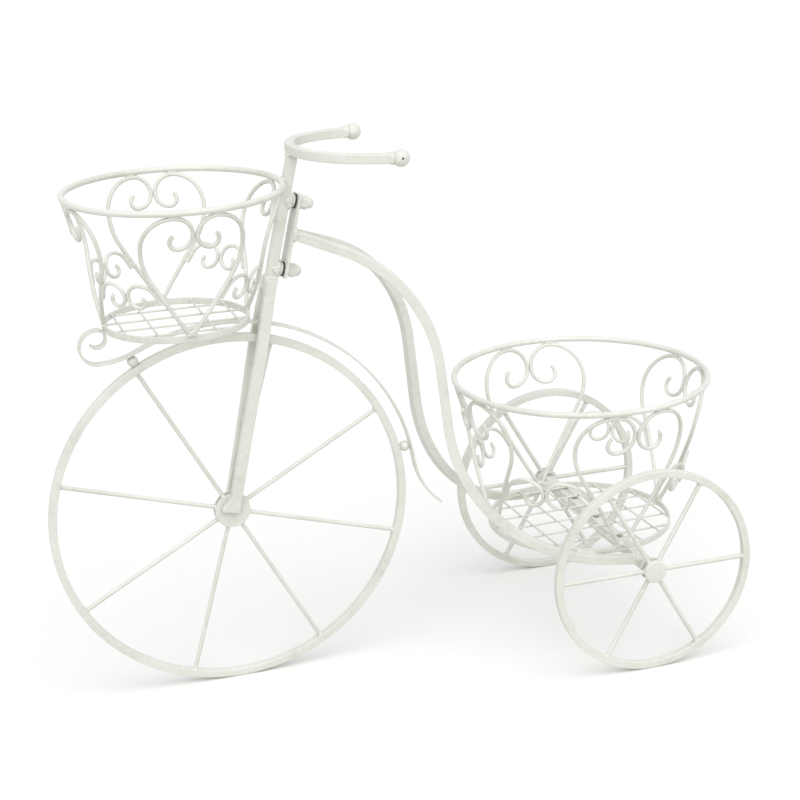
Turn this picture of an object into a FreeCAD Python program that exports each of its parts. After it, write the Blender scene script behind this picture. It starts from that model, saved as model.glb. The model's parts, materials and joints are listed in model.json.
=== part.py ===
import FreeCAD, Part
import math
import os
import Sketcher

# Tricycle planter: a penny-farthing style tricycle of welded bar and wire that carries two pot baskets.
# The front is -X, the rider's left is -Y, up is +Z and the floor is Z = 0.
# Lengths are in millimetres and angles in degrees.

SIZES = {
    # Clearances: welded neighbours, pieces that move past each other, shafts in holes, links on hearts
    "weld_gap": 0.12,
    "turn_gap": 0.4,
    "bore_gap": 0.05,
    "link_gap": 0.35,
    # Layout, with the room between the front wheel and the rear basket
    "front_hub_x": -176.8,
    "wheel_to_basket": 68.8,
    "track": 300,
    "rake": 12.2,
    # Front wheel
    "front_wheel_radius": 195,
    "front_rim_depth": 8,
    "front_rim_width": 9,
    "front_spoke_count": 8,
    "front_spoke_dia": 4.5,
    "front_spoke_phase": 74,
    "front_hub_dia": 38.5,
    "front_hub_core_dia": 14,
    "front_hub_flange": 2.2,
    # Rear wheels
    "rear_wheel_radius": 114.5,
    "rear_rim_depth": 8,
    "rear_rim_width": 8,
    "rear_spoke_count": 6,
    "rear_spoke_dia": 5,
    "rear_hub_dia": 25,
    "rear_barrel_dia": 19,
    "rear_flange": 3.2,
    "rear_hub_half": 6.7,
    "cap_roof": 1.4,
    "cap_cavity_dia": 16.4,
    # Rear axle
    "axle_bar": 12,
    "stub_dia": 10,
    "axle_washer": 1.2,
    "axle_washer_dia": 18,
    "axle_nut": 2,
    "axle_nut_dia": 15,
    "axle_hole_dia": 7,
    "axle_hole_pitch": 63,
    # Bar stock of the post, handlebar and frame
    "bar_stock": 10,
    "post_bar": 10.6,
    "corner_round": 0.8,
    # Fork legs: places above and below the rim of the wheel, and at the hub
    "leg_width": 12,
    "leg_thick": 8,
    "leg_top_above": 61,
    "leg_crown_above": 45,
    "leg_bow_below": 17,
    "leg_bow_out": 15.5,
    "leg_knee_below": 95,
    "leg_knee_out": 10.2,
    "leg_foot_height": 26,
    "leg_foot_below": 0.5,
    "leg_bend_radius": 60,
    # Steering post and head joint, heights along the post from the fork crown
    "post_lean": 1,
    "post_behind": 0.65,
    "post_bottom": 3.5,
    "stud_low": 26.5,
    "stud_high": 98.5,
    "boss_dia": 14,
    "boss_length": 4.9,
    "rubber_thick": 1.5,
    "rubber_dia": 15.5,
    "plate_thick": 3,
    "plate_width": 23,
    "plate_margin": 8,
    "stud_dia": 8,
    "washer_dia": 17,
    "washer_thick": 1.6,
    "nut_flats": 13,
    "nut_hex": 7.5,
    "nut_neck": 1.5,
    "nut_dome_dia": 12,
    "stud_past_hex": 2,
    # Handlebar, its height along the post from the fork crown
    "handle_up": 150.84,
    "handle_tilt": 1.5,
    "handle_reach": 90,
    "handle_half_width": 82.4,
    "handle_splay": 13,
    "handle_ball_dia": 18,
    "handle_ball_socket": 4,
    # Fender strip
    "fender_width": 11,
    "fender_thick": 2.2,
    "fender_ball_dia": 11.5,
    "fender_front_ball_angle": 118,
    "fender_rear_ball_angle": 12.8,
    "fender_tail_angle": 8,
    "fender_tail_radius": 88,
    "fender_tail_turn": 42,
    "scroll_touch_angle": 41,
    "scroll_radius": 18.2,
    "scroll_curl_radius": 9.3,
    "scroll_curl_turn": 225,
    # Frame bars from the head plate to the axle, with lengths and radii as shares of their reach
    "frame_start_angle": 20.3,
    "frame_steep_angle": 84,
    "frame_first_share": 0.1447,
    "frame_upper_share": 0.43,
    "frame_lower_share": 0.489,
    "frame_start_side": 0.6,
    "frame_start_up": 2.3,
    "frame_end_rise": 2.5,
    # Parts that both baskets share, with the curls of the wires as shares of their first arc
    "rim_rod_dia": 6.5,
    "ring_height": 7,
    "ring_thick": 2.5,
    "heart_wire_dia": 4.4,
    "heart_curl_share": 0.75,
    "heart_tip_share": 0.42,
    "link_wire_dia": 4,
    "link_curl_share": 0.78,
    "link_tip_share": 0.45,
    "curl_turn": 140,
    "floor_wire_dia": 2.2,
    # Front basket: links as shares of the slope and the room beside the hearts, floor as shares of the ring
    "front_ring_above": 21,
    "front_ring_radius": 75.5,
    "front_base_ahead": 5.2,
    "front_basket_rise": 135,
    "front_basket_flare": 35.3,
    "front_heart_half": 53.4,
    "front_heart_lobe": 32,
    "front_heart_bend": 63.6,
    "front_link_height_share": 0.4212,
    "front_link_width_share": 0.599,
    "front_link_leg": 11.5,
    "front_cross_count": 5,
    "front_cross_share": 0.8082,
    "front_long_count": 4,
    "front_long_share": 0.637,
    # Rear basket, the same way
    "rear_ring_inset": 46.3,
    "rear_basket_ahead": 20.8,
    "rear_base_ahead": 1,
    "rear_basket_turn": 3,
    "rear_basket_rise": 170.38,
    "rear_basket_flare": 37.1,
    "rear_heart_half": 65.5,
    "rear_heart_lobe": 38,
    "rear_heart_bend": 63.1,
    "rear_link_height_share": 0.4876,
    "rear_link_width_share": 0.494,
    "rear_link_leg": 15,
    "rear_cross_count": 7,
    "rear_cross_share": 0.8893,
    "rear_long_count": 7,
    "rear_long_share": 0.919,
}

# Sizes that follow from the others
DERIVED = {
    "leg_top": "=front_wheel_radius + leg_top_above",
    "leg_crown": "=front_wheel_radius + leg_crown_above",
    "leg_bow_height": "=front_wheel_radius - leg_bow_below",
    "leg_knee_height": "=front_wheel_radius - leg_knee_below",
    "front_ring_z": "=2 * front_wheel_radius + front_ring_above",
    "front_basket_z": "=front_ring_z + front_basket_rise",
    "front_basket_radius": "=front_ring_radius + front_basket_flare",
    "rear_ring_z": "=rear_wheel_radius + axle_bar / 2 + weld_gap + ring_height / 2",
    "rear_ring_radius": "=track / 2 - rear_ring_inset",
    "rear_basket_z": "=rear_ring_z + rear_basket_rise",
    "rear_basket_radius": "=rear_ring_radius + rear_basket_flare",
    "wheelbase": "=front_wheel_radius + wheel_to_basket + rear_basket_radius + rear_basket_ahead",
}

doc = FreeCAD.newDocument("tricycle_planter")
sheet = doc.addObject("Spreadsheet::Sheet", "Sizes")
for row, (name, value) in enumerate({**SIZES, **DERIVED}.items(), start=1):
    sheet.set(f"A{row}", name)
    sheet.set(f"B{row}", str(value))
    sheet.setAlias(f"B{row}", name)
doc.recompute()

Vector = FreeCAD.Vector
X_AXIS = Vector(1, 0, 0)
Y_AXIS = Vector(0, 1, 0)
Z_AXIS = Vector(0, 0, 1)
ORIGIN = Vector(0, 0, 0)
SIDES = {"left": -1, "right": 1}
nodes = {}


def size(name):
    return float(sheet.get(name))


def turned(axis, angle):
    return FreeCAD.Rotation(axis, angle)


def placed(base, rotation=None):
    return FreeCAD.Placement(base, rotation or FreeCAD.Rotation())


def node(part, label, placement=None):
    """Keep a finished piece under its own name and in its own place."""
    part.Label = label
    if placement is not None:
        part.Placement = placement
    nodes[label] = part
    return part


# Helpers for bodies made from sketches


def new_body(label):
    return doc.addObject("PartDesign::Body", label)


def new_sketch(body, role):
    plane = [f for f in body.Origin.OriginFeatures if f.Role == role][0]
    sketch = body.newObject("Sketcher::SketchObject", body.Name + "_sketch")
    sketch.AttachmentSupport = [(plane, "")]
    sketch.MapMode = "FlatFace"
    return sketch


def new_pad(body, sketch, length):
    pad = body.newObject("PartDesign::Pad", body.Name + "_pad")
    pad.Profile = sketch
    pad.SideType = "Symmetric"
    pad.setExpression("Length", length)
    sketch.Visibility = False
    return pad


def add_circle(sketch, radius, up=None):
    """A circle on the sketch's vertical axis, at its origin or up by a length."""
    index = sketch.addGeometry(Part.Circle(ORIGIN, Z_AXIS, 1))
    if up is None:
        sketch.addConstraint(Sketcher.Constraint("Coincident", index, 3, -1, 1))
    else:
        sketch.addConstraint(Sketcher.Constraint("PointOnObject", index, 3, -2))
        height = sketch.addConstraint(Sketcher.Constraint("DistanceY", -1, 1, index, 3, 1))
        sketch.setExpression(f"Constraints[{height}]", up)
    rule = sketch.addConstraint(Sketcher.Constraint("Radius", index, 1))
    sketch.setExpression(f"Constraints[{rule}]", radius)


def add_polygon(sketch, corners):
    for k, corner in enumerate(corners):
        after = corners[(k + 1) % len(corners)]
        sketch.addGeometry(Part.LineSegment(Vector(*corner, 0), Vector(*after, 0)))


def round_edges(body, feature, wanted):
    """Round the edges of a feature that pass the test."""
    fillet = body.newObject("PartDesign::Fillet", body.Name + "_round")
    edges = feature.Shape.Edges
    fillet.Base = (feature, [f"Edge{k + 1}" for k, edge in enumerate(edges) if wanted(edge)])
    fillet.setExpression("Radius", "Sizes.corner_round")
    return fillet


def is_circle(edge):
    return isinstance(edge.Curve, Part.Circle)


def ring_body(label, role, outer, inner, width, rounded=False):
    body = new_body(label)
    sketch = new_sketch(body, role)
    add_circle(sketch, outer)
    add_circle(sketch, inner)
    pad = new_pad(body, sketch, width)
    if rounded:
        doc.recompute()
        round_edges(body, pad, is_circle)
    return body


def spun_body(label, profile):
    """Turn a closed profile of (radius, Y) corners about the Y axis."""
    body = new_body(label)
    sketch = new_sketch(body, "XY_Plane")
    add_polygon(sketch, profile)
    spin = body.newObject("PartDesign::Revolution", body.Name + "_spin")
    spin.Profile = sketch
    spin.ReferenceAxis = (sketch, ["V_Axis"])
    spin.Angle = 360
    sketch.Visibility = False
    return body


# Helpers for bent bars: a path is laid as lines and arcs, then given its width on both sides


def heading_vector(heading):
    angle = math.radians(heading)
    return Vector(math.cos(angle), math.sin(angle), 0)


def walk(start, heading, moves):
    """Lay ("line", length) and ("arc", radius, turn) moves end to end from a start point."""
    path = []
    point = Vector(start[0], start[1], 0)
    for move in moves:
        step = {"kind": move[0], "start": point, "heading": heading, "turn": 0}
        if move[0] == "line":
            step["length"] = move[1]
            point = point + heading_vector(heading) * move[1]
        else:
            side = 90 if move[2] > 0 else -90
            step["turn"] = move[2]
            step["radius"] = move[1]
            step["length"] = move[1] * math.radians(abs(move[2]))
            step["centre"] = point + heading_vector(heading + side) * move[1]
            heading = heading + move[2]
            point = step["centre"] - heading_vector(heading + side) * move[1]
        step["end"] = point
        step["end_heading"] = heading
        path.append(step)
    return path


def bent_moves(corners, radius):
    """Moves along a polyline whose inner corners are bent to one radius, and the start heading."""
    points = [Vector(*corner, 0) for corner in corners]
    headings = []
    for a, b in zip(points, points[1:]):
        headings.append(math.degrees(math.atan2(b.y - a.y, b.x - a.x)))
    turns = [after - before for before, after in zip(headings, headings[1:])]
    trims = [0] + [radius * math.tan(math.radians(abs(turn)) / 2) for turn in turns] + [0]
    moves = []
    for k, (a, b) in enumerate(zip(points, points[1:])):
        moves.append(("line", (b - a).Length - trims[k] - trims[k + 1]))
        if k < len(turns):
            moves.append(("arc", radius, turns[k]))
    return headings[0], moves


def side_edge(step, offset):
    """One edge of a step, moved to the left by an offset, with its two end points."""
    left = heading_vector(step["heading"] + 90) * offset
    end_left = heading_vector(step["end_heading"] + 90) * offset
    first = step["start"] + left
    last = step["end"] + end_left
    if step["kind"] == "line":
        return Part.LineSegment(first, last), first, last
    radius = step["radius"] - offset if step["turn"] > 0 else step["radius"] + offset
    arm = first - step["centre"]
    angle = math.atan2(arm.y, arm.x)
    sweep = math.radians(step["turn"])
    circle = Part.Circle(step["centre"], Z_AXIS, radius)
    return Part.ArcOfCircle(circle, min(angle, angle + sweep), max(angle, angle + sweep)), first, last


def strip_body(label, role, path, width, thickness):
    """A bar or strip: the path given a width in its own plane, then a thickness across it."""
    body = new_body(label)
    sketch = new_sketch(body, role)
    ends = []
    for offset in (width / 2, -width / 2):
        edges = [side_edge(step, offset) for step in path]
        for edge, first, last in edges:
            sketch.addGeometry(edge)
        ends.append((edges[0][1], edges[-1][2]))
    for a, b in zip(ends[0], ends[1]):
        sketch.addGeometry(Part.LineSegment(a, b))
    new_pad(body, sketch, thickness)
    return body


# Helpers for plain solids


def cylinder(name, radius, height, placement=None):
    part = doc.addObject("Part::Cylinder", name)
    part.setExpression("Radius", radius)
    part.setExpression("Height", height)
    if placement is not None:
        part.Placement = placement
    return part


def cut(name, base, tool, placement=None):
    part = doc.addObject("Part::Cut", name)
    part.Base = base
    part.Tool = tool
    if placement is not None:
        part.Placement = placement
    return part


def tube(name, outer, inner, height, placement=None):
    whole = cylinder(name + "_outer", outer, height)
    hole = cylinder(name + "_inner", inner, height)
    return cut(name, whole, hole, placement)


def together(label, members, placement=None):
    part = doc.addObject("Part::Compound", label)
    part.Links = members
    return node(part, label, placement)


# Places that the pieces share

weld = size("weld_gap")
bar = size("bar_stock")
front_hub = Vector(size("front_hub_x"), 0, size("front_wheel_radius"))
axle_x = size("front_hub_x") + size("wheelbase")
axle_z = size("rear_wheel_radius")
rake = math.radians(size("rake"))
head_place = placed(front_hub, turned(Y_AXIS, size("rake")))


post_rake = math.radians(size("rake") + size("post_lean"))
crown = Vector(size("post_behind"), 0, size("leg_crown"))
post_place = head_place.multiply(placed(crown, turned(Y_AXIS, size("post_lean"))))
post_half = size("post_bar") / 2


def post_axis_x(z):
    return post_place.Base.x + (z - post_place.Base.z) * math.tan(post_rake)


# Front wheel, held fast by the fork

node(
    ring_body(
        "front_rim",
        "XZ_Plane",
        "Sizes.front_wheel_radius",
        "Sizes.front_wheel_radius - Sizes.front_rim_depth",
        "Sizes.front_rim_width",
        rounded=True,
    ),
    "front_rim",
    placed(front_hub),
)

front_slot = size("front_spoke_dia") / 2 + weld
front_hub_half = front_slot + size("front_hub_flange")
core_radius = size("front_hub_core_dia") / 2
flange_radius = size("front_hub_dia") / 2
front_hub_profile = [
    (0, -front_hub_half),
    (flange_radius, -front_hub_half),
    (flange_radius, -front_slot),
    (core_radius, -front_slot),
    (core_radius, front_slot),
    (flange_radius, front_slot),
    (flange_radius, front_hub_half),
    (0, front_hub_half),
]
node(spun_body("front_hub", front_hub_profile), "front_hub", placed(front_hub))


def spokes(label, wheel, phase, core_dia, placement):
    """Round spokes from the hub core to the rim of one kind of wheel."""
    count = int(size(wheel + "_spoke_count"))
    core = f"Sizes.{core_dia} / 2"
    length = f"Sizes.{wheel}_wheel_radius - Sizes.{wheel}_rim_depth - {core} - 2 * Sizes.weld_gap"
    members = []
    for k in range(count):
        out = heading_vector(phase + 360 * k / count)
        direction = Vector(out.x, 0, out.y)
        base = direction * (size(core_dia) / 2 + weld)
        spoke_place = placed(base, FreeCAD.Rotation(Z_AXIS, direction))
        members.append(cylinder(f"{label}_{k + 1}", f"Sizes.{wheel}_spoke_dia / 2", length, spoke_place))
    return together(label, members, placement)


spokes("front_spokes", "front", size("front_spoke_phase"), "front_hub_core_dia", placed(front_hub))

# Rear wheels, which spin on the axle stubs

hub_half = size("rear_hub_half")
barrel_radius = size("rear_barrel_dia") / 2
hub_radius = size("rear_hub_dia") / 2
bore_radius = size("stub_dia") / 2 + size("bore_gap")
spoke_half = size("rear_spoke_dia") / 2
barrel_end = spoke_half + weld
cavity_radius = size("cap_cavity_dia") / 2
cap_floor = barrel_end + weld
cap_inside = hub_half - size("cap_roof")
axle_washer_out = hub_half + size("turn_gap")
nut_start = barrel_end + size("turn_gap")

for side, sign in SIDES.items():
    wheel_centre = placed(Vector(axle_x, sign * size("track") / 2, axle_z))
    rim = ring_body(
        f"rear_rim_{side}",
        "XZ_Plane",
        "Sizes.rear_wheel_radius",
        "Sizes.rear_wheel_radius - Sizes.rear_rim_depth",
        "Sizes.rear_rim_width",
        rounded=True,
    )
    node(rim, f"rear_rim_{side}", wheel_centre)
    spokes(f"rear_spokes_{side}", "rear", 0, "rear_barrel_dia", wheel_centre)
    hub_profile = [
        (bore_radius, -sign * hub_half),
        (hub_radius, -sign * hub_half),
        (hub_radius, -sign * (hub_half - size("rear_flange"))),
        (barrel_radius, -sign * (hub_half - size("rear_flange"))),
        (barrel_radius, sign * barrel_end),
        (bore_radius, sign * barrel_end),
    ]
    node(spun_body(f"rear_hub_{side}", hub_profile), f"rear_hub_{side}", wheel_centre)
    cap_profile = [
        (cavity_radius, sign * cap_floor),
        (hub_radius, sign * cap_floor),
        (hub_radius, sign * (hub_half - size("corner_round"))),
        (hub_radius - size("corner_round"), sign * hub_half),
        (0, sign * hub_half),
        (0, sign * cap_inside),
        (cavity_radius, sign * cap_inside),
    ]
    node(spun_body(f"rear_hub_cap_{side}", cap_profile), f"rear_hub_cap_{side}", wheel_centre)

# Rear axle bar with its stubs, washers and retaining nuts

axle = new_body("rear_axle")
bar_sketch = new_sketch(axle, "XZ_Plane")
half_axle = size("axle_bar") / 2
square = [(-half_axle, -half_axle), (half_axle, -half_axle), (half_axle, half_axle), (-half_axle, half_axle)]
add_polygon(bar_sketch, square)
hub_and_washer = "(Sizes.rear_hub_half + Sizes.turn_gap + Sizes.axle_washer + Sizes.weld_gap)"
new_pad(axle, bar_sketch, f"Sizes.track - 2 * {hub_and_washer}")
stub_sketch = new_sketch(axle, "XZ_Plane")
add_circle(stub_sketch, "Sizes.stub_dia / 2")
stub_past = "(Sizes.rear_spoke_dia / 2 + Sizes.weld_gap + Sizes.turn_gap + Sizes.axle_nut)"
new_pad(axle, stub_sketch, f"Sizes.track + 2 * {stub_past}")
doc.recompute()
hole_sketch = new_sketch(axle, "XY_Plane")
add_circle(hole_sketch, "Sizes.axle_hole_dia / 2")
add_circle(hole_sketch, "Sizes.axle_hole_dia / 2", "Sizes.axle_hole_pitch")
add_circle(hole_sketch, "Sizes.axle_hole_dia / 2", "-Sizes.axle_hole_pitch")
holes = axle.newObject("PartDesign::Pocket", "rear_axle_holes")
holes.Profile = hole_sketch
holes.SideType = "Symmetric"
holes.setExpression("Length", "Sizes.axle_bar * 2")
hole_sketch.Visibility = False
node(axle, "rear_axle", placed(Vector(axle_x, 0, axle_z)))

for side, sign in SIDES.items():
    outward = turned(X_AXIS, -90 * sign)
    wheel_y = sign * size("track") / 2
    washer = tube(
        f"axle_washer_{side}",
        "Sizes.axle_washer_dia / 2",
        "Sizes.stub_dia / 2 + Sizes.bore_gap",
        "Sizes.axle_washer",
    )
    washer_base = Vector(axle_x, wheel_y - sign * (axle_washer_out + size("axle_washer")), axle_z)
    node(washer, f"axle_washer_{side}", placed(washer_base, outward))
    hexagon = doc.addObject("Part::Prism", f"axle_nut_{side}_hex")
    hexagon.Polygon = 6
    hexagon.setExpression("Circumradius", "Sizes.axle_nut_dia / 2")
    hexagon.setExpression("Height", "Sizes.axle_nut")
    hole = cylinder(f"axle_nut_{side}_hole", "Sizes.stub_dia / 2 + Sizes.bore_gap", "Sizes.axle_nut")
    nut_base = Vector(axle_x, wheel_y + sign * nut_start, axle_z)
    node(cut(f"axle_nut_{side}", hexagon, hole), f"axle_nut_{side}", placed(nut_base, outward))

# Fork legs: down from the post, bowed out past the rim and in to the hub flanges

leg_half = size("leg_thick") / 2
crown_y = post_half + weld + leg_half
foot_y = front_hub_half + weld + leg_half
leg_corners = [
    (crown_y, size("leg_top")),
    (crown_y, size("leg_crown")),
    (size("leg_bow_out"), size("leg_bow_height")),
    (size("leg_knee_out"), size("leg_knee_height")),
    (foot_y, size("leg_foot_height")),
    (foot_y, -size("leg_foot_below")),
]
for side, sign in SIDES.items():
    corners = [(sign * y, height) for y, height in leg_corners]
    heading, moves = bent_moves(corners, size("leg_bend_radius"))
    leg = strip_body(
        f"fork_leg_{side}",
        "YZ_Plane",
        walk(corners[0], heading, moves),
        size("leg_thick"),
        "Sizes.leg_width",
    )
    node(leg, f"fork_leg_{side}", head_place)

# Steering post, its top cut to lie under the handlebar

tilt = math.radians(size("handle_tilt"))
handle_z = post_place.Base.z + size("handle_up") * math.cos(post_rake)
post_top_z = handle_z - (bar / 2 + weld) / math.cos(tilt)
apex_x = post_axis_x(post_top_z)


def top_height(across):
    """Height along the post, at a distance behind its axis, of the plane under the handlebar."""
    level = post_top_z - post_place.Base.z + across * math.sin(post_rake)
    slope = (post_place.Base.x + across * math.cos(post_rake) - apex_x) * math.tan(tilt)
    return (level - slope) / (math.cos(post_rake) + math.sin(post_rake) * math.tan(tilt))


post = new_body("steering_post")
post_sketch = new_sketch(post, "XZ_Plane")
post_corners = [
    (-post_half, size("post_bottom")),
    (post_half, size("post_bottom")),
    (post_half, top_height(post_half)),
    (-post_half, top_height(-post_half)),
]
add_polygon(post_sketch, post_corners)
new_pad(post, post_sketch, "Sizes.post_bar")
node(post, "steering_post", post_place)

# Head joint: bosses, rubber rings, plate, studs, washers and cap nuts stacked behind the post

boss_at = post_half + weld
rubber_at = boss_at + size("boss_length") + weld
plate_at = rubber_at + size("rubber_thick") + weld
plate_back = plate_at + size("plate_thick")
washer_at = plate_back + weld
nut_at = washer_at + size("washer_thick") + weld
stud_hole = "Sizes.stud_dia / 2 + Sizes.bore_gap"
stud_heights = {"low": size("stud_low"), "high": size("stud_high")}


def on_stud(across, height):
    """A place on a stud, with the piece's own Z axis pointing to the rear."""
    return placed(Vector(across, 0, height), turned(Y_AXIS, 90))


def stacked(label, at, outer, height):
    members = []
    for which, along in stud_heights.items():
        members.append(tube(f"{label}_{which}", outer, stud_hole, height, on_stud(at, along)))
    return together(label, members, post_place)


stacked("head_bosses", boss_at, "Sizes.boss_dia / 2", "Sizes.boss_length")
stacked("head_rubbers", rubber_at, "Sizes.rubber_dia / 2", "Sizes.rubber_thick")
stacked("head_washers", washer_at, "Sizes.washer_dia / 2", "Sizes.washer_thick")

stack = "Sizes.boss_length + Sizes.rubber_thick + Sizes.plate_thick + Sizes.washer_thick"
stud_length = stack + " + 4 * Sizes.weld_gap + Sizes.nut_hex + Sizes.stud_past_hex"
studs = []
for which, along in stud_heights.items():
    stud_place = on_stud(boss_at, along)
    studs.append(cylinder(f"head_stud_{which}", "Sizes.stud_dia / 2", stud_length, stud_place))
together("head_studs", studs, post_place)

plate = new_body("head_plate")
plate_sketch = new_sketch(plate, "YZ_Plane")
plate_half = size("plate_width") / 2
plate_low = size("stud_low") - size("plate_margin")
plate_high = size("stud_high") + size("plate_margin")
add_polygon(
    plate_sketch,
    [(-plate_half, plate_low), (plate_half, plate_low), (plate_half, plate_high), (-plate_half, plate_high)],
)
for which in stud_heights:
    add_circle(plate_sketch, stud_hole, f"Sizes.stud_{which}")
new_pad(plate, plate_sketch, "Sizes.plate_thick")
plate_middle = Vector((plate_at + plate_back) / 2, 0, 0)
node(plate, "head_plate", post_place.multiply(placed(plate_middle)))

nuts = []
for which, along in stud_heights.items():
    name = f"cap_nut_{which}"
    hexagon = doc.addObject("Part::Prism", name + "_hex")
    hexagon.Polygon = 6
    hexagon.setExpression("Circumradius", "Sizes.nut_flats / sqrt(3)")
    hexagon.setExpression("Height", "Sizes.nut_hex")
    neck = cylinder(name + "_neck", "Sizes.nut_dome_dia / 2", "Sizes.nut_hex + Sizes.nut_neck")
    dome = doc.addObject("Part::Sphere", name + "_dome")
    dome.setExpression("Radius", "Sizes.nut_dome_dia / 2")
    dome.setExpression("Placement.Base.z", "Sizes.nut_hex + Sizes.nut_neck")
    solid = doc.addObject("Part::MultiFuse", name + "_solid")
    solid.Shapes = [hexagon, neck, dome]
    thread = cylinder(name + "_thread", stud_hole, "Sizes.nut_hex + Sizes.stud_past_hex + Sizes.weld_gap")
    nuts.append(cut(name, solid, thread, on_stud(nut_at, along)))
together("cap_nuts", nuts, post_place)

# Handlebar: a nearly level U, open to the rear, with a ball socketed on each end

splay = math.radians(size("handle_splay"))
reach = size("handle_reach")
handle_half = size("handle_half_width")
handle_radius = (handle_half * math.cos(splay) - reach * math.sin(splay)) / (1 - math.sin(splay))
arm_length = (reach - handle_radius) * math.cos(splay) + handle_half * math.sin(splay)
socket = size("handle_ball_socket")
ball_radius = size("handle_ball_dia") / 2
arm_heading = 180 - size("handle_splay")
arm_out = heading_vector(arm_heading)
arm_start = Vector(reach, -handle_half, 0) + arm_out * socket
handle_moves = [
    ("line", arm_length - socket),
    ("arc", handle_radius, -(180 - 2 * size("handle_splay"))),
    ("line", arm_length - socket),
]
handle_path = walk((arm_start.x, arm_start.y), arm_heading, handle_moves)
handle_place = placed(Vector(apex_x, 0, handle_z), turned(Y_AXIS, size("handle_tilt")))
handlebar = strip_body("handlebar", "XY_Plane", handle_path, bar, "Sizes.bar_stock")
node(handlebar, "handlebar", handle_place)

for side, sign in SIDES.items():
    ball = doc.addObject("Part::Sphere", f"handlebar_ball_{side}_round")
    ball.setExpression("Radius", "Sizes.handle_ball_dia / 2")
    notch = doc.addObject("Part::Box", f"handlebar_ball_{side}_socket")
    notch.setExpression("Length", "Sizes.handle_ball_dia")
    notch.setExpression("Width", "Sizes.bar_stock + 2 * Sizes.weld_gap")
    notch.setExpression("Height", "Sizes.bar_stock + 2 * Sizes.weld_gap")
    notch.Placement = placed(Vector(-socket + weld - 2 * ball_radius, -bar / 2 - weld, -bar / 2 - weld))
    on_end = placed(Vector(reach, sign * handle_half, 0), turned(Z_AXIS, sign * size("handle_splay")))
    node(cut(f"handlebar_ball_{side}", ball, notch), f"handlebar_ball_{side}", handle_place.multiply(on_end))

# Baskets: rim rod, base ring, floor wires, four hearts and four links on a cone

AROUND = {"rear": 0, "right": 90, "front": 180, "left": 270}
BETWEEN = {"rear_right": 45, "front_right": 135, "front_left": 225, "rear_left": 315}
rod_half = size("rim_rod_dia") / 2
ring_half = size("ring_height") / 2
heart_half_wire = size("heart_wire_dia") / 2
link_half_wire = size("link_wire_dia") / 2


def arc_through(start, tangent, end):
    """The arc, or line, that leaves a point along a tangent and reaches another point."""
    chord = end - start
    inward = chord - tangent * chord.dot(tangent)
    if inward.Length < 1e-7:
        return Part.LineSegment(start, end).toShape()
    inward.normalize()
    radius = chord.dot(chord) / (2 * chord.dot(inward))
    centre = start + inward * radius
    half = math.atan2(chord.dot(tangent), radius - chord.dot(inward)) / 2
    if half < 0:
        half = half + math.pi
    middle = centre - inward * (radius * math.cos(half)) + tangent * (radius * math.sin(half))
    return Part.Arc(start, middle, end).toShape()


def arc_pair(start, start_tangent, end, end_tangent):
    """Two arcs that join two points and keep both tangents."""
    chord = end - start
    bend = 2 * (1 - start_tangent.dot(end_tangent))
    along = chord.dot(start_tangent + end_tangent)
    if bend < 1e-9:
        reach_out = chord.dot(chord) / (4 * chord.dot(end_tangent))
    else:
        reach_out = (-along + math.sqrt(along * along + bend * chord.dot(chord))) / bend
    middle = (start + end + (start_tangent - end_tangent) * reach_out) * 0.5
    tangent = middle - (start + start_tangent * reach_out)
    tangent.normalize()
    return [arc_through(start, start_tangent, middle), arc_through(middle, tangent, end)]


class Cone:
    """The cone that a basket's wires lie on: u runs around it and v up its slope from the base ring."""

    def __init__(self, low_radius, low_z, high_radius, high_z, low_ahead):
        self.low_radius = low_radius
        self.low_z = low_z
        self.low_ahead = low_ahead
        self.slope_length = math.hypot(high_radius - low_radius, high_z - low_z)
        self.rise = (high_z - low_z) / self.slope_length
        self.spread = (high_radius - low_radius) / self.slope_length

    def radius(self, v):
        return self.low_radius + v * self.spread

    def station(self, around, u, v, heading):
        """The point and the unit tangent in space for a point and heading on the cone."""
        radius = self.radius(v)
        angle = math.radians(around) + u / radius
        outward = Vector(math.cos(angle), math.sin(angle), 0)
        sideways = Vector(-math.sin(angle), math.cos(angle), 0)
        ahead = self.low_ahead * (1 - v / self.slope_length)
        point = outward * radius + Z_AXIS * (self.low_z + v * self.rise) - X_AXIS * ahead
        step = heading_vector(heading)
        uphill = outward * self.spread + Z_AXIS * self.rise - sideways * (u / radius * self.spread)
        uphill = uphill + X_AXIS * (self.low_ahead / self.slope_length)
        tangent = sideways * step.x + uphill * step.y
        tangent.normalize()
        return point, tangent


def cone_wire(cone, around, path, mirrored):
    """A smooth wire in space along a path laid on the cone."""
    flip = -1 if mirrored else 1
    stations = []
    for index, step in enumerate(path):
        pieces = max(1, math.ceil(step["length"] / 24), math.ceil(abs(step["turn"]) / 38))
        for k in range(0 if index == 0 else 1, pieces + 1):
            part_turn = step["turn"] * k / pieces
            if step["kind"] == "line":
                point = step["start"] + heading_vector(step["heading"]) * (step["length"] * k / pieces)
            else:
                side = 90 if step["turn"] > 0 else -90
                arm = heading_vector(step["heading"] + part_turn + side) * step["radius"]
                point = step["centre"] - arm
            heading = step["heading"] + part_turn
            if mirrored:
                heading = 180 - heading
            stations.append(cone.station(around, flip * point.x, point.y, heading))
    edges = []
    for (p, t), (q, s) in zip(stations, stations[1:]):
        edges.extend(arc_pair(p, t, q, s))
    return Part.Wire(edges), stations[0]


def swept_wire(name, cone, around, path, mirrored, radius):
    """A round wire swept along a path on the cone."""
    spine = doc.addObject("Part::Feature", name + "_path")
    spine.Shape, (start, tangent) = cone_wire(cone, around, path, mirrored)
    spine.Visibility = False
    section = doc.addObject("Part::Circle", name + "_section")
    section.setExpression("Radius", radius)
    section.Placement = placed(start, FreeCAD.Rotation(Z_AXIS, tangent))
    section.Visibility = False
    wire = doc.addObject("Part::Sweep", name)
    wire.Sections = [section]
    wire.Spine = (spine, [])
    wire.Solid = True
    wire.Frenet = False
    return wire


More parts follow.
